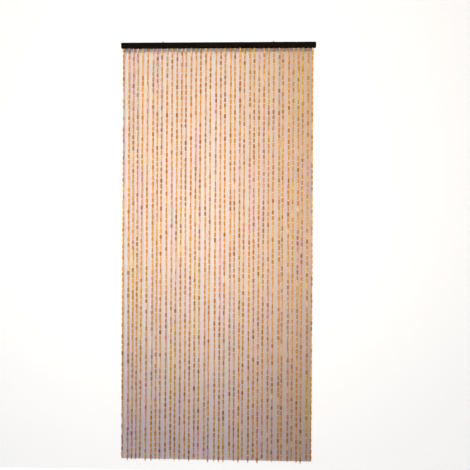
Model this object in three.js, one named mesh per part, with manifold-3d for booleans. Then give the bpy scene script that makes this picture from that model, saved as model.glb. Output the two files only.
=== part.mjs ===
// Wooden bead curtain on its black rail, in millimetres, with +Z up and the front towards -Y.
// The origin is the middle of the rail's back face, which lies against the lintel of a doorway.
import * as THREE from "three";
import { mergeVertices } from "three/addons/utils/BufferGeometryUtils.js";
import Module from "manifold-3d";

const wasm = await Module();
wasm.setup();

// Clearance between pieces that touch on the real curtain.
const GAP = 0.3;

// The rail is a flat batten with rounded ends and softened edges.
const RAIL_LENGTH = 900;
const RAIL_HEIGHT = 25;
const RAIL_DEPTH = 18;
const RAIL_CORNER_RADIUS = 4.5;
const RAIL_EDGE_RADIUS = 1.2;

// The heading strip lies in a groove along the rail's underside and holds every strand's root.
const STRIP_LENGTH = 886;
const STRIP_HEIGHT = 4;
const STRIP_DEPTH = 6;
const ROOT_OVERLAP = 2;

// The strands hang in one row, and no two are quite alike.
const STRAND_COUNT = 40;
const STRAND_END_INSET = 13.4;
const STRAND_LENGTH = 1905;
const STRAND_LENGTH_SPREAD = 9;
const STRAND_PLACE_SPREAD = 2.8;
const STRAND_LEAN_SPREAD = 3.5;
const STRAND_SIDES = 3;

// Numbers that scatter the traits in which one strand differs from the next.
const TRAIT = { length: 1, leanX: 2, leanY: 3, place: 4 };
const SCATTER = { perStrand: 12.9898, perTrait: 78.233, gain: 43758.5453 };

// A strand swells and narrows as its flat beads and small spacers do, one lobe for three beads.
const BEAD_WIDTH = 8.5;
const BEAD_THICKNESS = 5.2;
const BEAD_PITCH = 25.7;
const BEADS_IN_LOBE = 3;
const NECK_SHARE = 0.6;

// Two screw eyes in the rail's top edge hang the curtain on hooks or nails.
const EYE_SPACING = 510;
const EYE_RING_RADIUS = 2.9;
const EYE_WIRE_RADIUS = 1.1;
const EYE_NECK = 0.9;
const EYE_SHANK_LENGTH = 14;
const EYE_WIRE_SIDES = 6;
const EYE_RING_STEPS = 14;

const ROW_Y = -RAIL_DEPTH / 2;
const RAIL_TOP = RAIL_HEIGHT / 2;
const RAIL_BOTTOM = -RAIL_HEIGHT / 2;

// Materials, one for each kind of surface.
const blackLacquer = new THREE.MeshStandardMaterial({ color: 0x15130f, roughness: 0.42, metalness: 0 });
const honeyWood = new THREE.MeshStandardMaterial({ color: 0xd2a066, roughness: 0.5, metalness: 0 });
const zincSteel = new THREE.MeshStandardMaterial({ color: 0x8b9294, roughness: 0.35, metalness: 1 });

// A closed geometry as a solid that can be joined and cut.
function solidOf(geometry) {
  geometry.deleteAttribute("normal");
  geometry.deleteAttribute("uv");
  const merged = mergeVertices(geometry);
  const corners = merged.index.array;
  const triangles = [];
  for (let k = 0; k < corners.length; k += 3) {
    const [a, b, c] = corners.slice(k, k + 3);
    if (a !== b && b !== c && c !== a) triangles.push(a, b, c);
  }
  const vertProperties = Float32Array.from(merged.attributes.position.array);
  const triVerts = Uint32Array.from(triangles);
  return new wasm.Manifold(new wasm.Mesh({ numProp: 3, vertProperties, triVerts }));
}

// A joined or cut solid as a named mesh of the scene graph.
function meshOf(name, solid, material) {
  const { vertProperties, triVerts } = solid.getMesh();
  const geometry = new THREE.BufferGeometry();
  geometry.setAttribute("position", new THREE.BufferAttribute(vertProperties, 3));
  geometry.setIndex(new THREE.BufferAttribute(triVerts, 1));
  geometry.computeVertexNormals();
  const mesh = new THREE.Mesh(geometry, material);
  mesh.name = name;
  return mesh;
}

// A box by its size and the middle of its lower face.
function boxSolid(sizeX, sizeY, sizeZ, x, y, bottom) {
  return solidOf(new THREE.BoxGeometry(sizeX, sizeY, sizeZ).translate(x, y, bottom + sizeZ / 2));
}

// An upright round pin between two heights.
function pinSolid(radius, x, bottom, top) {
  const pin = new THREE.CylinderGeometry(radius, radius, top - bottom, EYE_WIRE_SIDES);
  return solidOf(pin.rotateX(Math.PI / 2).translate(x, ROW_Y, (bottom + top) / 2));
}

// A repeatable number from -1 to 1 for one trait of one strand.
function uneven(strand, trait) {
  const wave = Math.sin(strand * SCATTER.perStrand + trait * SCATTER.perTrait) * SCATTER.gain;
  return 2 * (wave - Math.floor(wave)) - 1;
}

// The rail's front outline, a rectangle with round corners.
function railOutline() {
  const x = RAIL_LENGTH / 2 - RAIL_CORNER_RADIUS;
  const z = RAIL_HEIGHT / 2 - RAIL_CORNER_RADIUS;
  const outline = new THREE.Shape();
  outline.absarc(x, z, RAIL_CORNER_RADIUS, 0, Math.PI / 2);
  outline.absarc(-x, z, RAIL_CORNER_RADIUS, Math.PI / 2, Math.PI);
  outline.absarc(-x, -z, RAIL_CORNER_RADIUS, Math.PI, 1.5 * Math.PI);
  outline.absarc(x, -z, RAIL_CORNER_RADIUS, 1.5 * Math.PI, 2 * Math.PI);
  return outline;
}

// The rail, with the groove for the heading strip and the holes for the screw eyes.
function makeRail() {
  const bar = new THREE.ExtrudeGeometry(railOutline(), {
    depth: RAIL_DEPTH - 2 * RAIL_EDGE_RADIUS,
    bevelThickness: RAIL_EDGE_RADIUS,
    bevelSize: RAIL_EDGE_RADIUS,
    bevelOffset: -RAIL_EDGE_RADIUS,
    bevelSegments: 3,
    curveSegments: 6,
  });
  bar.translate(0, 0, RAIL_EDGE_RADIUS).rotateX(Math.PI / 2);
  const groove = boxSolid(
    STRIP_LENGTH + 2 * GAP,
    STRIP_DEPTH + 2 * GAP,
    STRIP_HEIGHT + 2 * GAP,
    0,
    ROW_Y,
    RAIL_BOTTOM - GAP,
  );
  let rail = solidOf(bar).subtract(groove);
  for (const side of [-1, 1]) {
    const floor = RAIL_TOP - EYE_SHANK_LENGTH - GAP;
    rail = rail.subtract(pinSolid(EYE_WIRE_RADIUS + GAP, side * EYE_SPACING / 2, floor, RAIL_TOP + GAP));
  }
  return meshOf("rail", rail, blackLacquer);
}

// One strand from its root in the strip to its foot, turned about its own axis and then flattened.
function strandSolid(strand) {
  const length = STRAND_LENGTH + STRAND_LENGTH_SPREAD * uneven(strand, TRAIT.length);
  const lobes = Math.floor(STRAND_LENGTH / (BEAD_PITCH * BEADS_IN_LOBE));
  const lobePitch = length / lobes;
  const profile = [new THREE.Vector2(0, -length), new THREE.Vector2(NECK_SHARE, -length)];
  for (let lobe = lobes - 1; lobe >= 0; lobe -= 1) {
    profile.push(new THREE.Vector2(1, -(lobe + 0.5) * lobePitch));
    profile.push(new THREE.Vector2(NECK_SHARE, -lobe * lobePitch));
  }
  profile.push(new THREE.Vector2(NECK_SHARE, ROOT_OVERLAP), new THREE.Vector2(0, ROOT_OVERLAP));

  const shape = new THREE.LatheGeometry(profile, STRAND_SIDES).rotateX(Math.PI / 2);
  shape.computeBoundingBox();
  const turned = shape.boundingBox.getSize(new THREE.Vector3());
  shape.scale(BEAD_WIDTH / turned.x, BEAD_THICKNESS / turned.y, 1);

  const leanX = (STRAND_LEAN_SPREAD * uneven(strand, TRAIT.leanX)) / STRAND_LENGTH;
  const leanY = (STRAND_LEAN_SPREAD * uneven(strand, TRAIT.leanY)) / STRAND_LENGTH;
  shape.applyMatrix4(new THREE.Matrix4().makeShear(0, 0, 0, 0, leanX, leanY));

  const firstX = STRAND_END_INSET - RAIL_LENGTH / 2;
  const pitch = (-2 * firstX) / (STRAND_COUNT - 1);
  const x = firstX + pitch * strand + STRAND_PLACE_SPREAD * uneven(strand, TRAIT.place);
  return solidOf(shape.translate(x, ROW_Y, RAIL_BOTTOM));
}

// All the strands, with their roots fused into the heading strip.
function makeStrands() {
  let strands = boxSolid(STRIP_LENGTH, STRIP_DEPTH, STRIP_HEIGHT, 0, ROW_Y, RAIL_BOTTOM);
  for (let strand = 0; strand < STRAND_COUNT; strand += 1) {
    strands = strands.add(strandSolid(strand));
  }
  return meshOf("bead_strands", strands, honeyWood);
}

// A screw eye: a wire ring that faces the front, on a shank that goes down into the rail.
function makeEye(name, side) {
  const x = (side * EYE_SPACING) / 2;
  const ringZ = RAIL_TOP + EYE_NECK + EYE_WIRE_RADIUS + EYE_RING_RADIUS;
  const ring = new THREE.TorusGeometry(EYE_RING_RADIUS, EYE_WIRE_RADIUS, EYE_WIRE_SIDES, EYE_RING_STEPS);
  ring.rotateX(Math.PI / 2).translate(x, ROW_Y, ringZ);
  const shank = pinSolid(EYE_WIRE_RADIUS, x, RAIL_TOP - EYE_SHANK_LENGTH, ringZ - EYE_RING_RADIUS);
  return meshOf(name, solidOf(ring).add(shank), zincSteel);
}

const curtain = new THREE.Group();
curtain.add(makeRail());
curtain.add(makeStrands());
curtain.add(makeEye("screw_eye_left", -1));
curtain.add(makeEye("screw_eye_right", 1));

export default curtain;
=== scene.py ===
"""Dresses the wooden bead curtain on its black rail, in metres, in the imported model's frame."""

import logging
import math
from collections.abc import Iterable, Sequence
from dataclasses import dataclass, field
from enum import Enum

import bpy
import numpy as np
from mathutils import Matrix, Vector

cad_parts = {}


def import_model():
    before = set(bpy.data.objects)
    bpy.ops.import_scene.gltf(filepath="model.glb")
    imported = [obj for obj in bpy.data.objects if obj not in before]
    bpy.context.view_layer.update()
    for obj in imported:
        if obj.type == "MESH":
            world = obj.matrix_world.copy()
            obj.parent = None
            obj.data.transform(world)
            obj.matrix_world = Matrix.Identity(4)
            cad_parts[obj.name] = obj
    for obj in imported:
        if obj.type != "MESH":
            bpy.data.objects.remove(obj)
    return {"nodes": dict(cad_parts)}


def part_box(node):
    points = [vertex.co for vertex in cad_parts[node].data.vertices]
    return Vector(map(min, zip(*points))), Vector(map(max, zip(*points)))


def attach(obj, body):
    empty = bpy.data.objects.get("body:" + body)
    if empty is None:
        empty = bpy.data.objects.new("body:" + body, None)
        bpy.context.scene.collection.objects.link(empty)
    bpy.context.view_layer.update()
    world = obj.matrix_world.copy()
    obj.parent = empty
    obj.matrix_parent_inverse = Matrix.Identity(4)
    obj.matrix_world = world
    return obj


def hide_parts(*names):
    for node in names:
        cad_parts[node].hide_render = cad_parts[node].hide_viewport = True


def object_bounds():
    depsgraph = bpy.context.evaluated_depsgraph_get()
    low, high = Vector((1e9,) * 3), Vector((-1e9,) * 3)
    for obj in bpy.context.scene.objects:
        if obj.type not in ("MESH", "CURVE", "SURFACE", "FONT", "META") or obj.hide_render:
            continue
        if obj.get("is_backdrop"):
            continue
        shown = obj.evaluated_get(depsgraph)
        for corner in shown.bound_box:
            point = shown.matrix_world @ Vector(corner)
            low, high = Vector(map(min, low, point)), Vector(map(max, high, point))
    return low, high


LOG = logging.getLogger("bead_curtain")

Array = np.ndarray
Rgba = tuple[float, float, float, float]
Point = tuple[float, float, float]
Socket = bpy.types.NodeSocket
Inputs = dict[str | int, object]

MM = 0.001
PHOTO_PIXELS = 470
BODY = "root"
BAKE_MAP = "OFBake"

# The numbers that scatter the strands' traits, the same as in the solids.
SCATTER_PER_STRAND = 12.9898
SCATTER_PER_TRAIT = 78.233
SCATTER_GAIN = 43758.5453

# The tone of a cord, a wire or a bar, which has no single beads to tell apart.
EVEN_TONE = 0.5

# No bead strays from the usual one by more than this many times the spread.
STRAY_LIMIT = 2


class Node(Enum):
    """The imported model's nodes."""

    RAIL = "rail"
    STRANDS = "bead_strands"
    LEFT_EYE = "screw_eye_left"
    RIGHT_EYE = "screw_eye_right"


class Slot(Enum):
    """Names of two material slots."""

    BEADS = "bead_wood"
    EYES = "eye_steel"


class Trait(Enum):
    """The ways in which one strand differs from the next, numbered as in the solids."""

    LENGTH = 1
    LEAN_X = 2
    LEAN_Y = 3
    PLACE = 4


class Layer(Enum):
    """The point attributes that the bead finishes read."""

    GRAIN = "grain"
    TONE = "tone"
    # Near a bead's end, where the finish is darker: partly end grain, partly painted shade.
    ENDS = "ends"
    EDGE = "edge"


def srgb(red: int, green: int, blue: int) -> Rgba:
    """Turns a colour as a picture shows it into the linear colour that a shader takes.

    Args:
        red: The red value, from 0 to 255.
        green: The green value, from 0 to 255.
        blue: The blue value, from 0 to 255.

    Returns:
        The linear colour, with full cover.
    """
    shares = (value / 255 for value in (red, green, blue))
    r, g, b = (s / 12.92 if s <= 0.04045 else ((s + 0.055) / 1.055) ** 2.4 for s in shares)
    return (r, g, b, 1.0)


def uneven(strand: int, trait: Trait) -> float:
    """Gives a repeatable number from -1 to 1 for one trait of one strand, as in the solids."""
    wave = math.sin(strand * SCATTER_PER_STRAND + trait.value * SCATTER_PER_TRAIT) * SCATTER_GAIN
    return 2 * (wave - math.floor(wave)) - 1


class ShaderGraph:
    """A material in the making, with short calls for its nodes and links."""

    def __init__(self, name: str) -> None:
        """Starts a material that holds only its output.

        Args:
            name: The material's name.
        """
        self.material = bpy.data.materials.new(name)
        self.material.use_nodes = True
        self.tree = self.material.node_tree
        self.tree.nodes.clear()
        self.output = self.tree.nodes.new("ShaderNodeOutputMaterial")

    def feed(self, socket: Socket, value: object) -> None:
        """Links a socket to another, or sets its value.

        Args:
            socket: The input to feed.
            value: An output to link from, or a plain value.
        """
        if isinstance(value, bpy.types.NodeSocket):
            self.tree.links.new(value, socket)
        else:
            socket.default_value = value

    def node(self, kind: str, inputs: Inputs, **settings: object) -> bpy.types.Node:
        """Adds a node.

        Args:
            kind: Blender's name for the node's type.
            inputs: Values or links, by the input's name or number.
            **settings: The node's own properties.

        Returns:
            The node.
        """
        made = self.tree.nodes.new(kind)
        for key, value in settings.items():
            setattr(made, key, value)
        for key, value in inputs.items():
            self.feed(made.inputs[key], value)
        return made

    def layer(self, layer: Layer) -> Socket:
        """Reads one of the point attributes that the mesh carries."""
        output = "Vector" if layer is Layer.GRAIN else "Fac"
        return self.node("ShaderNodeAttribute", {}, attribute_name=layer.value).outputs[output]

    def place(self) -> Socket:
        """Reads the point's place in its object's frame, in metres."""
        return self.node("ShaderNodeTexCoord", {}).outputs["Object"]

    def ray(self, kind: str) -> Socket:
        """Tells whether a ray of one kind meets the surface."""
        return self.node("ShaderNodeLightPath", {}).outputs[kind]

    def axes(self, vector: Socket) -> dict[str, Socket]:
        """Takes a coordinate apart into X, Y and Z."""
        made = self.node("ShaderNodeSeparateXYZ", {"Vector": vector})
        return {name: made.outputs[name] for name in "XYZ"}

    def stretched(self, vector: Socket, scale: Point) -> Socket:
        """Scales a coordinate along each axis."""
        return self.node("ShaderNodeMapping", {"Vector": vector, "Scale": scale}).outputs["Vector"]

    def noise(
        self, vector: Socket, scale: float = 1.0, detail: float = 4.0, distortion: float = 0.0
    ) -> Socket:
        """Draws cloudy noise from 0 to 1, with a number of clouds to a unit."""
        inputs = {"Vector": vector, "Scale": scale, "Detail": detail, "Distortion": distortion}
        return self.node("ShaderNodeTexNoise", inputs).outputs["Fac"]

    def ramp(self, value: Socket, stops: Sequence[tuple[float, Rgba]]) -> Socket:
        """Maps a value to colours.

        Args:
            value: The value to map.
            stops: Places from 0 to 1, each with its colour.

        Returns:
            The colour.
        """
        made = self.node("ShaderNodeValToRGB", {"Fac": value})
        elements = made.color_ramp.elements
        while len(elements) < len(stops):
            elements.new(0.5)
        for element, (place, colour) in zip(elements, stops, strict=True):
            element.position = place
            element.color = colour
        return made.outputs["Color"]

    def mixed(self, share: object, first: object, second: object, blend: str = "MIX") -> Socket:
        """Mixes two colours, by the share of the second that shows."""
        inputs = {0: share, 6: first, 7: second}
        return self.node("ShaderNodeMix", inputs, data_type="RGBA", blend_type=blend).outputs[2]

    def spread(
        self, value: Socket, low: float = 0.0, high: float = 1.0, start: float = 0.0, end: float = 1.0
    ) -> Socket:
        """Maps a value from the range of start to end to the range of low to high."""
        inputs = {"Value": value, "From Min": start, "From Max": end, "To Min": low, "To Max": high}
        return self.node("ShaderNodeMapRange", inputs).outputs["Result"]

    def maths(self, operation: str, first: object, second: object = 0.0) -> Socket:
        """Works out one sum of two values."""
        return self.node("ShaderNodeMath", {0: first, 1: second}, operation=operation).outputs[0]

    def bump(self, height: Socket, strength: float, depth: float, under: Socket | None = None) -> Socket:
        """Turns a height into a surface normal.

        Args:
            height: The height, from 0 to 1.
            strength: How strongly it shows.
            depth: The height's size, in metres.
            under: A bump that this one lies on.

        Returns:
            The normal.
        """
        inputs: Inputs = {"Height": height, "Strength": strength, "Distance": depth}
        if under is not None:
            inputs["Normal"] = under
        return self.node("ShaderNodeBump", inputs).outputs["Normal"]

    def close(self, inputs: Inputs, clear: Socket | None = None) -> bpy.types.Material:
        """Adds the surface shader and links it to the output.

        Args:
            inputs: The shader's inputs.
            clear: Where the surface is clear, if it is so anywhere.

        Returns:
            The finished material.
        """
        surface = self.node("ShaderNodeBsdfPrincipled", inputs).outputs[0]
        if clear is not None:
            nothing = self.node("ShaderNodeBsdfTransparent", {}).outputs[0]
            surface = self.node("ShaderNodeMixShader", {0: clear, 1: surface, 2: nothing}).outputs[0]
        self.feed(self.output.inputs["Surface"], surface)
        return self.material


STREAK_SHADES = (
    (0.28, (0.62, 0.54, 0.44, 1.0)),
    (0.45, (0.92, 0.89, 0.84, 1.0)),
    (0.6, (1.0, 1.0, 1.0, 1.0)),
    (0.75, (1.14, 1.13, 1.1, 1.0)),
)


@dataclass(frozen=True)
class BeadWood:
    """Turned and sanded wood under a thin satin varnish, each bead of its own tone."""

    name: str
    tones: tuple[tuple[float, Rgba], ...]
    # A dark tone for the pores, for the end grain and for painted shade at the bead ends and in the
    # spacers' grooves.
    dark_grain_and_shade_tone: Rgba
    edge_tone: Rgba
    # How much darker the bead ends are: partly end grain, partly painted shade where the beads meet.
    end_share: float = 0.45
    edge_share: float = 0.3
    fleck_share: float = 0.35
    # How much painted shade darkens the spacers' ring grooves.
    groove_shade_share: float = 0.3
    streak_scale: Point = (0.85, 0.85, 0.06)
    pore_scale: Point = (5.0, 5.0, 0.5)
    ring_pitch_mm: float = 0.0

    def material(self) -> bpy.types.Material:
        """Builds the finish.

        Returns:
            The material.
        """
        graph = ShaderGraph(self.name)
        grain = graph.layer(Layer.GRAIN)
        streaks = graph.noise(graph.stretched(grain, self.streak_scale), detail=5.0, distortion=0.6)
        pores = graph.noise(graph.stretched(grain, self.pore_scale), detail=2.0)
        base = graph.ramp(graph.layer(Layer.TONE), self.tones)
        figured = graph.mixed(1.0, base, graph.ramp(streaks, STREAK_SHADES), "MULTIPLY")
        flecks = graph.spread(pores, high=self.fleck_share, start=0.62, end=0.8)
        flecked = graph.mixed(flecks, figured, self.dark_grain_and_shade_tone)
        worn_share = graph.maths("MULTIPLY", graph.layer(Layer.EDGE), self.edge_share)
        worn = graph.mixed(worn_share, flecked, self.edge_tone)
        # Darker ends: partly end grain, partly painted shade where the beads meet.
        dark_share = graph.maths("MULTIPLY", graph.layer(Layer.ENDS), self.end_share)
        colour = graph.mixed(dark_share, worn, self.dark_grain_and_shade_tone)
        normal = graph.bump(streaks, strength=0.35, depth=0.15 * MM)
        normal = graph.bump(pores, strength=0.25, depth=0.05 * MM, under=normal)
        if self.ring_pitch_mm:
            rings = self.turned_rings(graph, grain)
            # Painted shade: the spacers' colour darker in the ring grooves.
            groove_shade = graph.spread(rings, low=self.groove_shade_share, high=0.0, end=0.45)
            colour = graph.mixed(groove_shade, colour, self.dark_grain_and_shade_tone)
            normal = graph.bump(rings, strength=0.6, depth=0.15 * MM, under=normal)
        return graph.close(
            {
                "Base Color": colour,
                "Roughness": graph.spread(streaks, low=0.36, high=0.56),
                "Specular IOR Level": 0.2,
                "Coat Weight": 0.05,
                "Coat Roughness": 0.3,
                "Normal": normal,
            }
        )

    def turned_rings(self, graph: ShaderGraph, grain: Socket) -> Socket:
        """Draws the height of the fine rings that a turning tool leaves, from 0 to 1."""
        turn = graph.maths("MULTIPLY", graph.axes(grain)["Z"], 2 * math.pi / self.ring_pitch_mm)
        return graph.spread(graph.maths("SINE", turn), start=-1.0)


FLAT_BEAD_WOOD = BeadWood(
    "honey_bead_wood",
    tones=(
        (0.0, srgb(158, 101, 32)),
        (0.25, srgb(190, 131, 46)),
        (0.55, srgb(218, 165, 80)),
        (0.82, srgb(230, 186, 110)),
        (1.0, srgb(240, 204, 142)),
    ),
    dark_grain_and_shade_tone=srgb(98, 62, 20),
    edge_tone=srgb(234, 196, 130),
)
SPACER_WOOD = BeadWood(
    "pale_spacer_wood",
    tones=(
        (0.0, srgb(214, 172, 116)),
        (0.5, srgb(240, 212, 166)),
        (1.0, srgb(250, 232, 200)),
    ),
    dark_grain_and_shade_tone=srgb(150, 110, 64),
    edge_tone=srgb(248, 226, 184),
    ring_pitch_mm=1.7,
)


@dataclass(frozen=True)
class CordFibre:
    """Twisted natural cord on which the beads are strung."""

    name: str = "twisted_cord"
    pale: Rgba = srgb(214, 196, 164)
    dark: Rgba = srgb(150, 124, 88)
    twist_scale: Point = (2.0, 2.0, 3.0)

    def material(self) -> bpy.types.Material:
        """Builds the finish.

        Returns:
            The material.
        """
        graph = ShaderGraph(self.name)
        grain = graph.stretched(graph.layer(Layer.GRAIN), self.twist_scale)
        twist = graph.noise(grain, detail=3.0, distortion=1.5)
        return graph.close(
            {
                "Base Color": graph.mixed(twist, self.dark, self.pale),
                "Roughness": graph.spread(twist, low=0.7, high=0.9),
                "Normal": graph.bump(twist, strength=0.6, depth=0.1 * MM),
            }
        )


@dataclass(frozen=True)
class BlackLacquer:
    """Black satin lacquer over wood, with the grain just showing and a little wear on the edges."""

    name: str = "black_rail_lacquer"
    black: Rgba = srgb(2, 2, 2)
    brown: Rgba = srgb(19, 13, 11)
    worn: Rgba = srgb(62, 46, 35)
    fibre_scale: Point = (14.0, 420.0, 420.0)
    scuff_scale: Point = (90.0, 300.0, 300.0)
    half_height: float = 12.5 * MM
    half_depth: float = 9 * MM
    middle_y: float = -9 * MM
    edge_width: float = 1.3 * MM

    def edge_share(self, graph: ShaderGraph, place: Socket) -> Socket:
        """Finds how near a point is to one of the rail's long edges.

        Args:
            graph: The material in the making.
            place: The point, in metres.

        Returns:
            A value from 0 away from the edges to 1 on them.
        """
        axes = graph.axes(place)
        height = graph.maths("ABSOLUTE", axes["Z"])
        depth = graph.maths("ABSOLUTE", graph.maths("SUBTRACT", axes["Y"], self.middle_y))
        near_z = graph.spread(height, start=self.half_height - self.edge_width, end=self.half_height)
        near_y = graph.spread(depth, start=self.half_depth - self.edge_width, end=self.half_depth)
        return graph.maths("MULTIPLY", near_z, near_y)

    def material(self) -> bpy.types.Material:
        """Builds the finish.

        Returns:
            The material.
        """
        graph = ShaderGraph(self.name)
        place = graph.place()
        fibres = graph.noise(graph.stretched(place, self.fibre_scale), detail=5.0, distortion=0.4)
        clouds = graph.noise(place, scale=22.0, detail=3.0)
        scuffs = graph.noise(graph.stretched(place, self.scuff_scale))
        base = graph.mixed(graph.spread(fibres, start=0.42, end=0.7), self.black, self.brown)
        patches = graph.spread(scuffs, start=0.5, end=0.7)
        bared = graph.maths("MULTIPLY", self.edge_share(graph, place), patches)
        return graph.close(
            {
                "Base Color": graph.mixed(bared, base, self.worn),
                "Roughness": graph.spread(clouds, low=0.48, high=0.64, start=0.3, end=0.7),
                "Specular IOR Level": 0.02,
                "Normal": graph.bump(fibres, strength=0.4, depth=0.2 * MM),
            }
        )


@dataclass(frozen=True)
class ZincWire:
    """Zinc plated steel wire, faintly cloudy and dulled."""

    name: str = "zinc_plated_wire"
    bright: Rgba = srgb(136, 144, 148)
    dull: Rgba = srgb(84, 91, 96)

    def material(self) -> bpy.types.Material:
        """Builds the finish.

        Returns:
            The material.
        """
        graph = ShaderGraph(self.name)
        clouds = graph.noise(graph.place(), scale=520.0, detail=4.0, distortion=0.8)
        shine = graph.spread(clouds, start=0.35, end=0.7)
        return graph.close(
            {
                "Base Color": graph.mixed(shine, self.dull, self.bright),
                "Metallic": 1.0,
                "Roughness": graph.spread(clouds, low=0.28, high=0.5, start=0.3, end=0.7),
                "Normal": graph.bump(clouds, strength=0.15, depth=0.05 * MM),
            }
        )


@dataclass(frozen=True)
class PaleFloorPaint:
    """Plain pale paint for the floor, kept pale to look at where little light falls on it."""

    name: str = "pale_floor_paint"
    tone: Rgba = srgb(238, 237, 235)
    mottled: Rgba = srgb(230, 229, 227)
    lift: float = 0.8

    def material(self) -> bpy.types.Material:
        """Builds the finish.

        Returns:
            The material.
        """
        graph = ShaderGraph(self.name)
        clouds = graph.noise(graph.place(), scale=3.0, detail=3.0)
        return graph.close(
            {
                "Base Color": graph.mixed(clouds, self.tone, self.mottled),
                "Roughness": 0.9,
                "Emission Color": self.tone,
                "Emission Strength": graph.maths("MULTIPLY", graph.ray("Is Camera Ray"), self.lift),
            }
        )


@dataclass(frozen=True)
class LightBoxWall:
    """A white lit wall with a board on it behind the curtain, whose darker paint is painted shade for the
    wall in the strands' shadow and whose glow is painted light, both clear from behind and to lamps
    behind.
    """

    board_low: Point
    board_high: Point
    name: str = "light_box_wall"
    # The board's paint, darker than the lit wall, is painted shade for the wall in the strands' shadow.
    board: Rgba = srgb(185, 180, 181)
    board_mottled: Rgba = srgb(180, 174, 176)
    glass: Rgba = (0.22, 0.22, 0.22, 1.0)
    glow: Rgba = (0.8, 0.8, 0.8, 1.0)
    # Painted light: the board's glow, seen only by the camera, bluer at the foot than at the head.
    head_glow: Rgba = (0.11, 0.115, 0.14, 1.0)
    foot_glow: Rgba = (0.115, 0.112, 0.168, 1.0)
    # Painted shade: the board's paint and glow darken and warm from the middle to the right end.
    left_shade: Rgba = (1.0, 1.0, 1.0, 1.0)
    right_shade: Rgba = (0.8, 0.71, 0.62, 1.0)
    board_edge: float = 4 * MM

    def board_share(self, graph: ShaderGraph, axes: dict[str, Socket]) -> Socket:
        """Tells the board from the lit wall round it.

        Args:
            graph: The material in the making.
            axes: The point's coordinates, in metres.

        Returns:
            A value of 1 on the board and 0 off it.
        """
        share: object = 1.0
        for number, name in ((0, "X"), (2, "Z")):
            for end, way in ((self.board_low[number], 1), (self.board_high[number], -1)):
                inside = graph.spread(axes[name], start=end, end=end + way * self.board_edge)
                share = graph.maths("MULTIPLY", inside, share)
        return share

    def material(self) -> bpy.types.Material:
        """Builds the finish.

        Returns:
            The material.
        """
        graph = ShaderGraph(self.name)
        place = graph.place()
        clouds = graph.noise(place, scale=5.0, detail=3.0)
        axes = graph.axes(place)
        share = self.board_share(graph, axes)
        rise = graph.spread(axes["Z"], start=self.board_low[2], end=self.board_high[2])
        # Painted shade: the board darker and warmer from the middle to its right end.
        aside = graph.spread(axes["X"], end=self.board_high[0])
        painted_shade = graph.mixed(aside, self.left_shade, self.right_shade)
        mottled = graph.mixed(clouds, self.board, self.board_mottled)
        paint = graph.mixed(1.0, mottled, painted_shade, "MULTIPLY")
        # Painted light: the board glows bluer towards the foot, and the glow takes the painted shade to
        # the right.
        foot_to_head_glow = graph.mixed(rise, self.foot_glow, self.head_glow)
        board_glow = graph.mixed(1.0, foot_to_head_glow, painted_shade, "MULTIPLY")
        behind = graph.node("ShaderNodeNewGeometry", {}).outputs["Backfacing"]
        return graph.close(
            {
                "Base Color": graph.mixed(share, self.glass, paint),
                "Roughness": 0.9,
                "Specular IOR Level": 0.1,
                # The glow is seen only by the camera: painted light on the board, an even white glow on
                # the wall round it.
                "Emission Color": graph.mixed(share, self.glow, board_glow),
                "Emission Strength": graph.ray("Is Camera Ray"),
            },
            clear=graph.maths("MAXIMUM", behind, graph.ray("Is Shadow Ray")),
        )


@dataclass
class Shape:
    """A mesh as plain arrays, before Blender takes it."""

    points: Array
    normals: Array
    corners: Array
    sides: Array
    places: Array
    layers: dict[Layer, Array]
    finish: Array

    @staticmethod
    def joined(shapes: Sequence["Shape"]) -> "Shape":
        """Joins several shapes into one.

        Args:
            shapes: The shapes.

        Returns:
            One shape that holds them all.
        """
        counts = np.cumsum([0] + [len(shape.points) for shape in shapes])
        return Shape(
            points=np.concatenate([shape.points for shape in shapes]),
            normals=np.concatenate([shape.normals for shape in shapes]),
            corners=np.concatenate([s.corners + n for s, n in zip(shapes, counts[:-1], strict=True)]),
            sides=np.concatenate([shape.sides for shape in shapes]),
            places=np.concatenate([shape.places for shape in shapes]),
            layers={layer: np.concatenate([shape.layers[layer] for shape in shapes]) for layer in Layer},
            finish=np.concatenate([shape.finish for shape in shapes]),
        )

    def triangles(self) -> int:
        """Counts the triangles that the faces hold."""
        return int((self.sides - 2).sum())

    def to_object(self, name: str, materials: Iterable[bpy.types.Material]) -> bpy.types.Object:
        """Makes a Blender object.

        Args:
            name: The object's name.
            materials: Its materials, in the order of the finish numbers.

        Returns:
            The object, linked to the scene.
        """
        mesh = bpy.data.meshes.new(name)
        mesh.vertices.add(len(self.points))
        mesh.vertices.foreach_set("co", self.points.astype(np.float32).ravel())
        mesh.loops.add(len(self.corners))
        mesh.loops.foreach_set("vertex_index", self.corners.astype(np.int32))
        mesh.polygons.add(len(self.sides))
        starts = np.concatenate([[0], np.cumsum(self.sides)[:-1]])
        mesh.polygons.foreach_set("loop_start", starts.astype(np.int32))
        mesh.polygons.foreach_set("material_index", self.finish.astype(np.int32))
        mesh.polygons.foreach_set("use_smooth", np.ones(len(self.sides), bool))
        mesh.uv_layers.new(name=BAKE_MAP).data.foreach_set("uv", self.places.astype(np.float32).ravel())
        for layer, values in self.layers.items():
            vector = values.ndim == 2
            held = mesh.attributes.new(layer.value, "FLOAT_VECTOR" if vector else "FLOAT", "POINT")
            held.data.foreach_set("vector" if vector else "value", values.astype(np.float32).ravel())
        for material in materials:
            mesh.materials.append(material)
        mesh.update(calc_edges=True)
        mesh.normals_split_custom_set_from_vertices(self.normals.astype(np.float32))
        piece = bpy.data.objects.new(name, mesh)
        bpy.context.scene.collection.objects.link(piece)
        return piece


def unit(vectors: Array) -> Array:
    """Scales each vector to a length of one."""
    return vectors / np.linalg.norm(vectors, axis=-1, keepdims=True)


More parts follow.
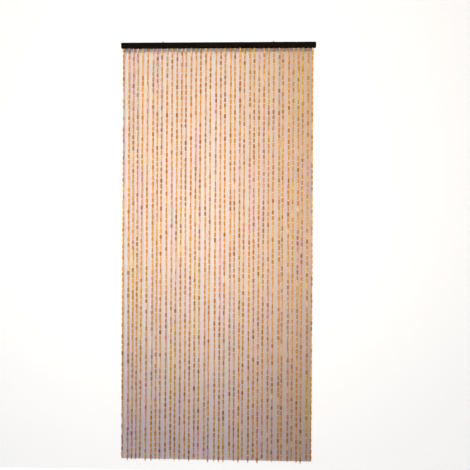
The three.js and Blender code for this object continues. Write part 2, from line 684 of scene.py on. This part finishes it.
def tube_faces(rings: int, around: int) -> tuple[Array, Array]:
    """Lists the faces of a closed tube of equal rings, with a flat face on each end.

    Args:
        rings: The number of rings.
        around: The number of points in a ring.

    Returns:
        The faces' corners, in one row, and the number of corners of each face.
    """
    ring, step = np.meshgrid(np.arange(rings - 1), np.arange(around), indexing="ij")
    following = (step + 1) % around
    low = ring * around
    high = low + around
    quads = np.stack([low + step, low + following, high + following, high + step], axis=-1).reshape(-1, 4)
    bottom = np.arange(around)[::-1]
    top = (rings - 1) * around + np.arange(around)
    corners = np.concatenate([quads.ravel(), bottom, top])
    sides = np.concatenate([np.full(len(quads), 4), [around, around]])
    return corners, sides


def tube_places(rings: int, around: int) -> Array:
    """Lays a closed tube's faces out flat in a square of side one, its two ends below its body.

    Args:
        rings: The number of rings.
        around: The number of points in a ring.

    Returns:
        A place for each corner, in the order of tube_faces.
    """
    body_left, body_right, body_low, body_high = 0.04, 0.96, 0.2, 0.96
    end_centres, end_radius = ((0.25, 0.1), (0.75, 0.1)), 0.06
    ring, step = np.meshgrid(np.arange(rings - 1), np.arange(around), indexing="ij")
    across = np.stack([step, step + 1, step + 1, step], axis=-1) / around
    along = np.stack([ring, ring, ring + 1, ring + 1], axis=-1) / (rings - 1)
    body_x = body_left + (body_right - body_left) * across
    body_y = body_low + (body_high - body_low) * along
    body = np.stack([body_x, body_y], axis=-1).reshape(-1, 2)
    angles = np.arange(around) * 2 * math.pi / around
    circle = end_radius * np.stack([np.cos(angles), np.sin(angles)], axis=-1)
    return np.concatenate([body, circle[::-1] + end_centres[0], circle + end_centres[1]])


def rounded_outline() -> tuple[Array, Array, Array]:
    """Goes round a rectangle with rounded corners, three points to a corner.

    Returns:
        The angle at which each point faces, and the signs of its two distances from the middle.
    """
    corner = np.array([0.0, 0.25, 0.5]) * math.pi
    angles = np.concatenate([corner + k * math.pi / 2 for k in range(4)])
    across = np.repeat([1, -1, -1, 1], len(corner))
    upward = np.repeat([1, 1, -1, -1], len(corner))
    return angles, across, upward


def plain_layers(points: Array) -> dict[Layer, Array]:
    """Gives a cord, a wire or a bar its grain and one even tone.

    Args:
        points: The points, in metres.

    Returns:
        The point attributes.
    """
    none = np.zeros(len(points))
    return {
        Layer.GRAIN: points / MM,
        Layer.TONE: np.full(len(points), EVEN_TONE),
        Layer.ENDS: none,
        Layer.EDGE: none,
    }


@dataclass
class Atlas:
    """A square map in which each bead or cord gets a cell of its own."""

    cells: int
    taken: int = 0

    def claim(self, count: int, places: Array) -> Array:
        """Gives each of several like things a cell.

        Args:
            count: How many things there are.
            places: The places of one thing's corners, in a square of side one.

        Returns:
            The places of all their corners, one thing after another.
        """
        across = math.ceil(math.sqrt(self.cells))
        numbers = np.arange(self.taken, self.taken + count)
        self.taken += count
        cell = np.stack([numbers % across, numbers // across], axis=-1)
        return ((places[None] + cell[:, None]) / across).reshape(-1, 2)


@dataclass(frozen=True)
class BeadForm:
    """One bead in its own frame, in millimetres, with its axis along Z."""

    points: Array
    normals: Array
    ends: Array
    edge: Array
    rings: int
    around: int


@dataclass(frozen=True)
class FlatBead:
    """A slat of wood shaped to an oval outline, with two flat faces and curved sides, in millimetres."""

    length: float = 18.9
    width: float = 8.5
    thickness: float = 5.2
    corner: float = 0.75
    corner_wear: tuple[float, float, float] = (0.3, 1.0, 0.3)
    end_round: float = 0.5
    end_zone: float = 0.2
    oval: tuple[float, float] = (0.56, 2.0)
    barrel: tuple[float, float] = (0.74, 2.8)
    rings: tuple[float, ...] = (-1.0, -0.95, -0.66, -0.24, 0.24, 0.66, 0.95, 1.0)

    def form(self, end_share: float, fullness: float) -> BeadForm:
        """Works the bead out.

        Args:
            end_share: The width of its ends, as a share of its middle's.
            fullness: The power by which its sides curve: 2 for an oval, more for a barrel.

        Returns:
            The bead.
        """
        along = np.array(self.rings)
        half_length = self.length / 2
        half_width = self.width / 2 * (1 - (1 - end_share) * np.abs(along) ** fullness)
        slope = -self.width / 2 * (1 - end_share) * fullness * np.abs(along) ** (fullness - 1)
        slope *= np.sign(along) / half_length
        half_thick = np.full(len(along), self.thickness / 2)
        last = np.abs(along) == 1.0
        half_width = half_width - self.end_round * last
        half_thick = half_thick - self.end_round * last

        angles, side_x, side_y = rounded_outline()
        x = side_x * (half_width[:, None] - self.corner) + self.corner * np.cos(angles)
        y = side_y * (half_thick[:, None] - self.corner) + self.corner * np.sin(angles)
        z = np.broadcast_to(along[:, None] * half_length, x.shape)
        rise = -slope[:, None] * np.abs(np.cos(angles))
        normals = np.stack(np.broadcast_arrays(np.cos(angles), np.sin(angles), rise), axis=-1).copy()
        normals[last, :, 2] += np.sign(along[last])[:, None]
        # How near each ring lies to the bead's end, where the finish paints end grain and shade darker.
        ends = np.clip((np.abs(along) - (1 - self.end_zone)) / self.end_zone, 0, 1)
        return BeadForm(
            points=np.stack([x, y, z], axis=-1).reshape(-1, 3),
            normals=unit(normals).reshape(-1, 3),
            ends=np.repeat(ends, len(angles)),
            edge=np.tile(self.corner_wear, 4 * len(along)),
            rings=len(along),
            around=len(angles),
        )


@dataclass(frozen=True)
class Spacer:
    """A small turned barrel between two flat beads, in millimetres."""

    length: float = 6.7
    diameter: float = 5.5
    end_share: float = 0.88
    end_round: float = 0.4
    end_zone: float = 0.3
    around: int = 10
    rings: tuple[float, ...] = (-1.0, -0.86, -0.32, 0.32, 0.86, 1.0)

    def form(self) -> BeadForm:
        """Works the spacer out.

        Returns:
            The spacer.
        """
        along = np.array(self.rings)
        half_length = self.length / 2
        last = np.abs(along) == 1.0
        radius = self.diameter / 2 * (1 - (1 - self.end_share) * along**2) - self.end_round * last
        slope = -self.diameter * (1 - self.end_share) * along / half_length
        angles = np.arange(self.around) * 2 * math.pi / self.around
        x = radius[:, None] * np.cos(angles)
        y = radius[:, None] * np.sin(angles)
        z = np.broadcast_to(along[:, None] * half_length, x.shape)
        rise = -slope[:, None]
        normals = np.stack(np.broadcast_arrays(np.cos(angles), np.sin(angles), rise), axis=-1).copy()
        normals[last, :, 2] += np.sign(along[last])[:, None]
        # How near each ring lies to the spacer's end, where the finish paints end grain and shade darker.
        ends = np.clip((np.abs(along) - (1 - self.end_zone)) / self.end_zone, 0, 1)
        return BeadForm(
            points=np.stack([x, y, z], axis=-1).reshape(-1, 3),
            normals=unit(normals).reshape(-1, 3),
            ends=np.repeat(ends, self.around),
            edge=np.zeros(len(along) * self.around),
            rings=len(along),
            around=self.around,
        )


@dataclass(frozen=True)
class BeadRow:
    """Where the beads of one kind sit on a strand, and how each differs."""

    centres: Array
    scales: Array
    turns: Array
    tilts: Array
    blends: Array
    tones: Array
    grain_starts: Array

    def strung(self, first: BeadForm, second: BeadForm, atlas: Atlas, finish: int) -> Shape:
        """Sets a bead at each place, between two forms.

        Args:
            first: The form of a bead whose blend is 0.
            second: The form of a bead whose blend is 1.
            atlas: The map that the beads are laid out on.
            finish: The number of the beads' material.

        Returns:
            The beads, in metres.
        """
        count = len(self.centres)
        blend = self.blends[:, None, None]
        local = (first.points * (1 - blend) + second.points * blend) * self.scales[:, None]
        normals = unit((first.normals * (1 - blend) + second.normals * blend) / self.scales[:, None])
        frames = self.frames()
        points = np.einsum("bij,bpj->bpi", frames, local) * MM + self.centres[:, None]
        turned = np.einsum("bij,bpj->bpi", frames, normals)
        corners, sides = tube_faces(first.rings, first.around)
        step = len(first.points)
        size = (count, step)
        return Shape(
            points=points.reshape(-1, 3),
            normals=turned.reshape(-1, 3),
            corners=(corners[None] + step * np.arange(count)[:, None]).ravel(),
            sides=np.tile(sides, count),
            places=atlas.claim(count, tube_places(first.rings, first.around)),
            layers={
                Layer.GRAIN: (local + self.grain_starts[:, None]).reshape(-1, 3),
                Layer.TONE: np.broadcast_to(self.tones[:, None], size).ravel(),
                Layer.ENDS: np.broadcast_to(first.ends, size).ravel(),
                Layer.EDGE: np.broadcast_to(first.edge, size).ravel(),
            },
            finish=np.full(count * len(sides), finish),
        )

    def frames(self) -> Array:
        """Works out how each bead is turned about the cord and tilted off it.

        Returns:
            A turning matrix for each bead.
        """
        cos, sin = np.cos(self.turns), np.sin(self.turns)
        zero, one = np.zeros_like(cos), np.ones_like(cos)
        turn = np.stack([cos, -sin, zero, sin, cos, zero, zero, zero, one], axis=-1).reshape(-1, 3, 3)
        lean_x, lean_y = self.tilts.T
        lean = np.stack([one, zero, lean_x, zero, one, lean_y, -lean_x, -lean_y, one], axis=-1)
        return lean.reshape(-1, 3, 3) @ turn


def swept(path: Array, radius: float, around: int, atlas: Atlas, finish: int) -> Shape:
    """Sweeps a round wire along a path.

    Args:
        path: The points of its middle line, in metres.
        radius: Its radius, in metres.
        around: The number of points in a ring.
        atlas: The map that it is laid out on.
        finish: The number of its material.

    Returns:
        The wire, closed at both ends.
    """
    ways = unit(np.gradient(path, axis=0))
    across = np.zeros_like(path)
    starts_along_y = abs(ways[0][1]) >= 0.9
    spare = np.array([1.0, 0.0, 0.0] if starts_along_y else [0.0, 1.0, 0.0])
    for k, way in enumerate(ways):
        spare = spare - way * (spare @ way)
        spare = spare / np.linalg.norm(spare)
        across[k] = spare
    beside = np.cross(ways, across)
    angles = np.arange(around) * 2 * math.pi / around
    normals = across[:, None] * np.cos(angles)[:, None] + beside[:, None] * np.sin(angles)[:, None]
    points = (path[:, None] + radius * normals).reshape(-1, 3)
    corners, sides = tube_faces(len(path), around)
    return Shape(
        points=points,
        normals=normals.reshape(-1, 3),
        corners=corners,
        sides=sides,
        places=atlas.claim(1, tube_places(len(path), around)),
        layers=plain_layers(points),
        finish=np.full(len(sides), finish),
    )


@dataclass(frozen=True)
class RoundedBar:
    """A straight bar along X with all its edges rounded, in metres."""

    length: float
    depth: float
    height: float
    edge: float
    middle: Vector
    stations: int = 24
    nose_degrees: tuple[float, ...] = (90.0, 60.0, 30.0)
    nose_share: float = 0.7

    def shape(self, atlas: Atlas) -> Shape:
        """Works the bar out as rings along its length.

        Args:
            atlas: The map that it is laid out on.

        Returns:
            The bar.
        """
        half = self.length / 2
        bend = np.radians(self.nose_degrees)
        body = np.linspace(-half + self.edge, half - self.edge, self.stations)
        nose = -half + self.edge * (1 - np.sin(bend))
        x = np.concatenate([nose, body, -nose[::-1]])
        drawn_in = self.nose_share * self.edge * (1 - np.cos(bend))
        inset = np.concatenate([drawn_in, np.zeros(self.stations), drawn_in[::-1]])
        tilt = np.concatenate([-np.sin(bend), np.zeros(self.stations), np.sin(bend)[::-1]])

        angles, side_y, side_z = rounded_outline()
        flat_y = self.depth / 2 - self.edge - inset[:, None]
        flat_z = self.height / 2 - self.edge - inset[:, None]
        y = side_y * flat_y + self.edge * np.cos(angles)
        z = side_z * flat_z + self.edge * np.sin(angles)
        rings = np.stack([np.broadcast_to(x[:, None], y.shape), y, z], axis=-1) + np.array(self.middle)
        points = rings.reshape(-1, 3)
        upright = np.sqrt(1 - tilt**2)[:, None]
        normals = np.stack(
            np.broadcast_arrays(tilt[:, None], upright * np.cos(angles), upright * np.sin(angles)),
            axis=-1,
        )
        corners, sides = tube_faces(len(x), len(angles))
        return Shape(
            points=points,
            normals=unit(normals).reshape(-1, 3),
            corners=corners,
            sides=sides,
            places=atlas.claim(1, tube_places(len(x), len(angles))),
            layers=plain_layers(points),
            finish=np.zeros(len(sides), int),
        )


def node_box(node: Node) -> tuple[Vector, Vector]:
    """Reads the lowest and the highest corner of a node's solid."""
    low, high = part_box(node.value)
    return Vector(low), Vector(high)


def hand_over(piece: bpy.types.Object, node: Node) -> None:
    """Puts a piece in the place of a node's solid.

    Args:
        piece: The piece.
        node: The node that it replaces.
    """
    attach(piece, BODY)
    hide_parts(node.value)


class BeadFinish(Enum):
    """The numbers of a strand's materials."""

    FLAT = 0
    SPACER = 1
    CORD = 2


@dataclass
class Strand:
    """One cord with its flat beads and spacers, from the rail's underside to the knot at its foot."""

    number: int
    root: Vector
    length: float
    lean: tuple[float, float]
    flat: FlatBead
    spacer: Spacer
    most_top_spacers: int = 2
    bead_gap: float = 0.12 * MM
    bead_slack: float = 0.25 * MM
    length_spread: float = 0.045
    girth_spread: float = 0.05
    tilt_spread: float = 0.02
    tone_middle: float = 0.4
    tone_spread: float = 0.21
    grain_reach_mm: float = 400.0
    cord_radius: float = 0.45 * MM
    cord_in_strip: float = 1.5 * MM
    cord_steps: int = 28
    cord_sides: int = 5
    knot_size: float = 1.1 * MM
    knot_room: float = 2.4
    knot_drop: float = 1.1
    knot_depth: float = 1.6
    knot_steps: int = 25
    sway: float = 0.7 * MM
    sway_waves: tuple[float, float] = (7.0, 5.0)
    first_seed: int = 4100
    rng: np.random.Generator = field(init=False)

    def __post_init__(self) -> None:
        """Seeds the strand's own chance."""
        self.rng = np.random.default_rng(self.first_seed + self.number)

    def line(self, drops: Array) -> Array:
        """Follows the cord.

        Args:
            drops: Distances below the root, in metres.

        Returns:
            The points there.
        """
        phase_x, phase_y = self.sway_phases()
        wave_x, wave_y = self.sway_waves
        share = drops / self.length
        swing = self.sway * np.sin(math.pi * share)
        x = self.root.x - self.lean[0] * drops + swing * np.sin(phase_x + wave_x * share)
        y = self.root.y - self.lean[1] * drops + swing * np.sin(phase_y + wave_y * share)
        return np.stack([x, y, self.root.z - drops], axis=-1)

    def sway_phases(self) -> tuple[float, float]:
        """Gives the two phases of the strand's slight sway."""
        return (1.7 * self.number, 2.3 * self.number + 1.0)

    def stray(self, spread: float, size: int | tuple[int, int]) -> Array:
        """Draws small differences from the usual bead."""
        return spread * self.rng.standard_normal(size).clip(-STRAY_LIMIT, STRAY_LIMIT)

    def shape(self, atlas: Atlas) -> Shape:
        """Strings the beads.

        Args:
            atlas: The map that the strand is laid out on.

        Returns:
            The strand.
        """
        kinds, lengths = self.sequence()
        bottoms = np.cumsum(lengths + self.bead_gap)
        middles = bottoms - lengths / 2
        oval = self.flat.form(*self.flat.oval)
        barrel = self.flat.form(*self.flat.barrel)
        spacer = self.spacer.form()
        flat = self.row(middles[kinds], lengths[kinds] / (self.flat.length * MM), BeadFinish.FLAT)
        small = self.row(middles[~kinds], lengths[~kinds] / (self.spacer.length * MM), BeadFinish.SPACER)
        return Shape.joined(
            [
                flat.strung(oval, barrel, atlas, BeadFinish.FLAT.value),
                small.strung(spacer, spacer, atlas, BeadFinish.SPACER.value),
                self.cord(atlas, bottoms[-1]),
                self.knot(atlas, bottoms[-1]),
            ]
        )

    def sequence(self) -> tuple[Array, Array]:
        """Chooses the run of beads that fills the strand.

        Returns:
            Which of them are flat, from the top, and their lengths in metres.
        """
        room = self.length - self.knot_room * self.knot_size
        top_spacers = int(self.rng.integers(0, self.most_top_spacers + 1))
        pair = self.flat.length + self.spacer.length + 2 * self.bead_gap / MM
        pairs = round((room / MM - top_spacers * self.spacer.length) / pair)
        kinds = np.array([False] * top_spacers + [True, False] * pairs)
        lengths = np.where(kinds, self.flat.length, self.spacer.length) * MM
        lengths = lengths * (1 + self.stray(self.length_spread, len(kinds)))
        gaps = self.bead_gap * len(kinds)
        return kinds, lengths * (room - gaps) / lengths.sum()

    def row(self, drops: Array, stretch: Array, kind: BeadFinish) -> BeadRow:
        """Varies the beads of one kind.

        Args:
            drops: Their distances below the root, in metres.
            stretch: Their lengths, as shares of the usual length.
            kind: Which kind they are.

        Returns:
            Their places and differences.
        """
        count = len(drops)
        chance = self.rng
        centres = self.line(drops)
        centres[:, :2] += self.bead_slack * chance.uniform(-1, 1, (count, 2))
        girth = 1 + self.stray(self.girth_spread, (count, 2))
        if kind is BeadFinish.SPACER:
            girth[:, 1] = girth[:, 0]
        tones = self.tone_middle + self.tone_spread * chance.standard_normal(count)
        return BeadRow(
            centres=centres,
            scales=np.column_stack([girth, stretch]),
            turns=chance.uniform(0, 2 * math.pi, count),
            tilts=self.stray(self.tilt_spread, (count, 2)),
            blends=chance.uniform(0, 1, count),
            tones=tones.clip(0, 1),
            grain_starts=chance.uniform(0, self.grain_reach_mm, (count, 3)),
        )

    def cord(self, atlas: Atlas, foot: float) -> Shape:
        """Runs the cord through the beads, down to the knot below the foot of the last one."""
        drops = np.linspace(-self.cord_in_strip, foot + self.knot_size, self.cord_steps)
        return swept(self.line(drops), self.cord_radius, self.cord_sides, atlas, BeadFinish.CORD.value)

    def knot(self, atlas: Atlas, foot: float) -> Shape:
        """Ties an overhand knot below the last bead.

        Args:
            atlas: The map that the strand is laid out on.
            foot: How far below the root the last bead ends, in metres.

        Returns:
            The knot.
        """
        turn = np.linspace(0, 2 * math.pi, self.knot_steps)
        trefoil_reach = 3
        trefoil = np.stack(
            [
                np.sin(turn) + 2 * np.sin(2 * turn),
                np.cos(turn) - 2 * np.cos(2 * turn),
                -self.knot_depth * np.sin(3 * turn),
            ],
            axis=-1,
        )
        middle = self.line(np.array([foot + self.knot_drop * self.knot_size]))
        path = middle + trefoil * self.knot_size / trefoil_reach
        return swept(path, self.cord_radius, self.cord_sides, atlas, BeadFinish.CORD.value)


@dataclass
class StrandCurtain:
    """All the strands and the heading strip that holds their roots."""

    count: int = 40
    end_inset: float = 13.4 * MM
    length: float = 1905 * MM
    length_spread: float = 9 * MM
    place_spread: float = 2.8 * MM
    lean_spread: float = 3.5 * MM
    in_piece: int = 2
    cells_in_strand: int = 160
    strip_height: float = 4 * MM
    strip_depth: float = 6 * MM
    strip_edge: float = 0.5 * MM
    flat: FlatBead = field(default_factory=FlatBead)
    spacer: Spacer = field(default_factory=Spacer)

    def build(self) -> list[bpy.types.Object]:
        """Makes the strands in small groups, and the strip.

        Returns:
            The pieces.
        """
        finishes = [FLAT_BEAD_WOOD.material(), SPACER_WOOD.material(), CordFibre().material()]
        pieces = []
        for start in range(0, self.count, self.in_piece):
            atlas = Atlas(self.in_piece * self.cells_in_strand)
            numbers = range(start, min(start + self.in_piece, self.count))
            shape = Shape.joined([self.strand(number).shape(atlas) for number in numbers])
            name = f"strands_{numbers[0] + 1:02d}_{numbers[-1] + 1:02d}"
            pieces.append(shape.to_object(name, finishes))
            LOG.info("%s: %d triangles, %d map cells", name, shape.triangles(), atlas.taken)
        pieces.append(self.strip())
        for piece in pieces:
            hand_over(piece, Node.STRANDS)
        return pieces

    def strand(self, number: int) -> Strand:
        """Sets one strand out as its solid is.

        Args:
            number: The strand's number, from 0 at the left.

        Returns:
            The strand.
        """
        low, high = node_box(Node.RAIL)
        first = low.x + self.end_inset
        last = high.x - self.end_inset
        pitch = (last - first) / (self.count - 1)
        x = first + pitch * number + self.place_spread * uneven(number, Trait.PLACE)
        steep = self.lean_spread / self.length
        return Strand(
            number=number,
            root=Vector((x, (low.y + high.y) / 2, low.z)),
            length=self.length + self.length_spread * uneven(number, Trait.LENGTH),
            lean=(steep * uneven(number, Trait.LEAN_X), steep * uneven(number, Trait.LEAN_Y)),
            flat=self.flat,
            spacer=self.spacer,
        )

    def strip(self) -> bpy.types.Object:
        """Makes the heading strip in the rail's groove, with softened edges.

        Returns:
            The strip.
        """
        low, high = node_box(Node.STRANDS)
        rail_low, rail_high = node_box(Node.RAIL)
        middle_y = (rail_low.y + rail_high.y) / 2
        bar = RoundedBar(
            length=high.x - low.x,
            depth=self.strip_depth,
            height=self.strip_height,
            edge=self.strip_edge,
            middle=Vector(((low.x + high.x) / 2, middle_y, rail_low.z + self.strip_height / 2)),
        )
        lacquer = BlackLacquer("black_strip_lacquer").material()
        return bar.shape(Atlas(cells=1)).to_object("heading_strip", [lacquer])


@dataclass
class Rail:
    """The black batten, which keeps its solid and takes a lacquer finish."""

    finish: BlackLacquer = field(default_factory=BlackLacquer)

    def dress(self, rail: bpy.types.Object) -> bpy.types.Object:
        """Lacquers the rail.

        Args:
            rail: The rail's node.

        Returns:
            The rail.
        """
        rail.data.materials.clear()
        rail.data.materials.append(self.finish.material())
        return rail


@dataclass
class ScrewEye:
    """A screw eye bent from one length of wire."""

    node: Node
    wire_radius: float = 1.1 * MM
    ring_radius: float = 2.9 * MM
    mouth_degrees: float = 12.0
    around: int = 14
    ring_steps: int = 48
    shank_steps: int = 8

    def build(self, finish: bpy.types.Material) -> bpy.types.Object:
        """Bends the wire to its shank and ring.

        Args:
            finish: The wire's material.

        Returns:
            The eye.
        """
        low, high = node_box(self.node)
        x = (low.x + high.x) / 2
        y = (low.y + high.y) / 2
        ring_z = high.z - self.wire_radius - self.ring_radius
        turns = np.radians(np.linspace(-90, 270 - self.mouth_degrees, self.ring_steps))
        ring = np.stack([np.cos(turns), np.zeros_like(turns), np.sin(turns)], axis=-1) * self.ring_radius
        ring = ring + (x, y, ring_z)
        shank_z = np.linspace(low.z, ring_z - self.ring_radius, self.shank_steps)
        shank = np.stack([np.full_like(shank_z, x), np.full_like(shank_z, y), shank_z], axis=-1)
        atlas = Atlas(cells=2)
        wires = [swept(path, self.wire_radius, self.around, atlas, 0) for path in (shank, ring)]
        shape = Shape.joined(wires)
        piece = shape.to_object(f"{self.node.value}_wire", [finish])
        hand_over(piece, self.node)
        LOG.info("%s: %d triangles", piece.name, shape.triangles())
        return piece


@dataclass(frozen=True)
class SoftLight:
    """One soft studio lamp."""

    name: str
    place: Point
    aim: Point
    size: tuple[float, float]
    watts: float
    colour: tuple[float, float, float]
    beam_degrees: float = 180.0

    def build(self) -> bpy.types.Object:
        """Hangs the lamp.

        Returns:
            The lamp.
        """
        data = bpy.data.lights.new(self.name, "AREA")
        data.shape = "ELLIPSE"
        data.size, data.size_y = self.size
        data.energy = self.watts
        data.color = self.colour
        data.spread = math.radians(self.beam_degrees)
        lamp = bpy.data.objects.new(self.name, data)
        lamp.visible_camera = False
        way = Vector(self.aim) - Vector(self.place)
        turn = way.to_track_quat("-Z", "Y").to_matrix().to_4x4()
        lamp.matrix_world = Matrix.Translation(self.place) @ turn
        bpy.context.scene.collection.objects.link(lamp)
        return lamp


STUDIO_LAMPS = (
    SoftLight(
        "warm_high", place=(-0.15, -2.4, 1.25), aim=(-0.1, 0.0, 0.0), size=(2.4, 1.0),
        watts=20.6, colour=(1.0, 0.84, 0.64), beam_degrees=70.0,
    ),
    SoftLight(
        "warm_level", place=(-0.3, -2.6, -0.9), aim=(-0.1, 0.0, -0.94), size=(2.4, 0.5),
        watts=9.6, colour=(1.0, 0.865, 0.7), beam_degrees=54.0,
    ),
    SoftLight(
        "cool_low", place=(-1.3, -2.3, -1.75), aim=(-0.2, 0.0, -1.7), size=(1.6, 1.2),
        watts=3.8, colour=(0.36, 0.54, 1.0), beam_degrees=120.0,
    ),
    SoftLight(
        "back_fill", place=(0.6, 3.2, 0.8), aim=(0.0, 0.0, -0.8), size=(2.0, 2.0),
        watts=70.0, colour=(1.0, 0.98, 0.95),
    ),
    SoftLight(
        "floor_wash", place=(0.0, 0.0, 3.4), aim=(0.0, 0.0, 0.0), size=(18.0, 18.0),
        watts=60.0, colour=(1.0, 1.0, 1.0), beam_degrees=20.0,
    ),
)


@dataclass
class Studio:
    """The pale wall and floor, the soft lamps and the camera."""

    wall_gap: float = 9.0 * MM
    floor_drop: float = 45 * MM
    board_inset: float = 9 * MM
    board_rise: float = 6 * MM
    reach: float = 9.0
    air: Rgba = (0.88, 0.93, 1.0, 1.0)
    air_strength: float = 0.1
    air_seen: Rgba = (0.9, 0.9, 0.9, 1.0)
    camera_distance: float = 3.2
    camera_turn: float = 2.22
    camera_roll: float = 0.35
    camera_rise: float = 7.8 * MM
    sensor_mm: float = 36.0
    focal_pixels: float = 693.5
    shift_pixels: tuple[float, float] = (18.1, 14.9)
    lamps: tuple[SoftLight, ...] = STUDIO_LAMPS

    def build(self, low: Vector, high: Vector) -> None:
        """Sets the studio up round the curtain.

        Args:
            low: The curtain's lowest corner.
            high: The curtain's highest corner.
        """
        self.surroundings()
        ground = low.z - self.floor_drop
        foot = low.z + self.board_rise
        left = low.x + self.board_inset
        right = high.x - self.board_inset
        # The board behind the curtain carries painted shade in its paint and painted light in its glow.
        board = LightBoxWall((left, 0.0, foot), (right, 0.0, 0.0))
        wall = self.plane("pale_wall", board.material())
        wall.data.transform(Matrix.Rotation(math.radians(90), 4, "X"))
        wall.data.transform(Matrix.Translation((0.0, high.y + self.wall_gap, self.reach + ground)))
        floor = self.plane("pale_floor", PaleFloorPaint().material())
        floor.data.transform(Matrix.Translation((0.0, 0.0, ground)))
        for lamp in self.lamps:
            lamp.build()
        self.camera((low + high) / 2)

    def plane(self, name: str, finish: bpy.types.Material) -> bpy.types.Object:
        """Makes a large plain sheet of the stage, facing up.

        Args:
            name: Its name.
            finish: Its material.

        Returns:
            The sheet.
        """
        ends = (-self.reach, self.reach)
        corners = [(x, y, 0.0) for x in ends for y in ends]
        mesh = bpy.data.meshes.new(name)
        mesh.from_pydata(corners, [], [(0, 2, 3, 1)])
        mesh.materials.append(finish)
        sheet = bpy.data.objects.new(name, mesh)
        bpy.context.scene.collection.objects.link(sheet)
        sheet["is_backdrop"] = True
        return sheet

    def surroundings(self) -> None:
        """Lights the studio evenly from all round, and shows colours as they are."""
        scene = bpy.context.scene
        world = bpy.data.worlds.new("studio_air")
        world.use_nodes = True
        tree = world.node_tree
        dim = tree.nodes["Background"]
        dim.inputs["Color"].default_value = self.air
        dim.inputs["Strength"].default_value = self.air_strength
        seen = tree.nodes.new("ShaderNodeBackground")
        seen.inputs["Color"].default_value = self.air_seen
        ray = tree.nodes.new("ShaderNodeLightPath")
        either = tree.nodes.new("ShaderNodeMixShader")
        sources = (ray.outputs["Is Camera Ray"], dim.outputs[0], seen.outputs[0])
        for source, socket in zip(sources, either.inputs, strict=True):
            tree.links.new(source, socket)
        tree.links.new(either.outputs[0], tree.nodes["World Output"].inputs["Surface"])
        scene.world = world
        scene.view_settings.view_transform = "Standard"
        scene.view_settings.look = "None"

    def camera(self, middle: Vector) -> None:
        """Points the camera as the photograph was taken.

        Args:
            middle: The middle of the curtain.
        """
        data = bpy.data.cameras.new("photo_camera")
        data.sensor_width = self.sensor_mm
        data.lens = self.sensor_mm * self.focal_pixels / PHOTO_PIXELS
        data.shift_x = self.shift_pixels[0] / PHOTO_PIXELS
        data.shift_y = self.shift_pixels[1] / PHOTO_PIXELS
        turn = math.radians(self.camera_turn)
        place = middle + self.camera_distance * Vector((math.sin(turn), -math.cos(turn), 0.0))
        way = middle + Vector((0.0, 0.0, self.camera_rise)) - place
        look = way.to_track_quat("-Z", "Y").to_matrix().to_4x4()
        roll = Matrix.Rotation(math.radians(self.camera_roll), 4, "Z")
        camera = bpy.data.objects.new("photo_camera", data)
        camera.matrix_world = Matrix.Translation(place) @ look @ roll
        bpy.context.scene.collection.objects.link(camera)
        bpy.context.scene.camera = camera


def main() -> None:
    """Loads the frame, builds the curtain's pieces in order and sets up the studio."""
    logging.basicConfig(level=logging.INFO, format="%(name)s: %(message)s")
    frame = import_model()
    solid_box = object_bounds()
    rail = Rail().dress(frame["nodes"][Node.RAIL.value])
    LOG.info("%s: lacquered", rail.name)
    for piece in StrandCurtain().build():
        LOG.info("%s: strung", piece.name)
    wire = ZincWire().material()
    for node in (Node.LEFT_EYE, Node.RIGHT_EYE):
        eye = ScrewEye(node).build(wire)
        LOG.info("%s: bent", eye.name)
    Studio().build(Vector(solid_box[0]), Vector(solid_box[1]))


if __name__ == "__main__":
    main()
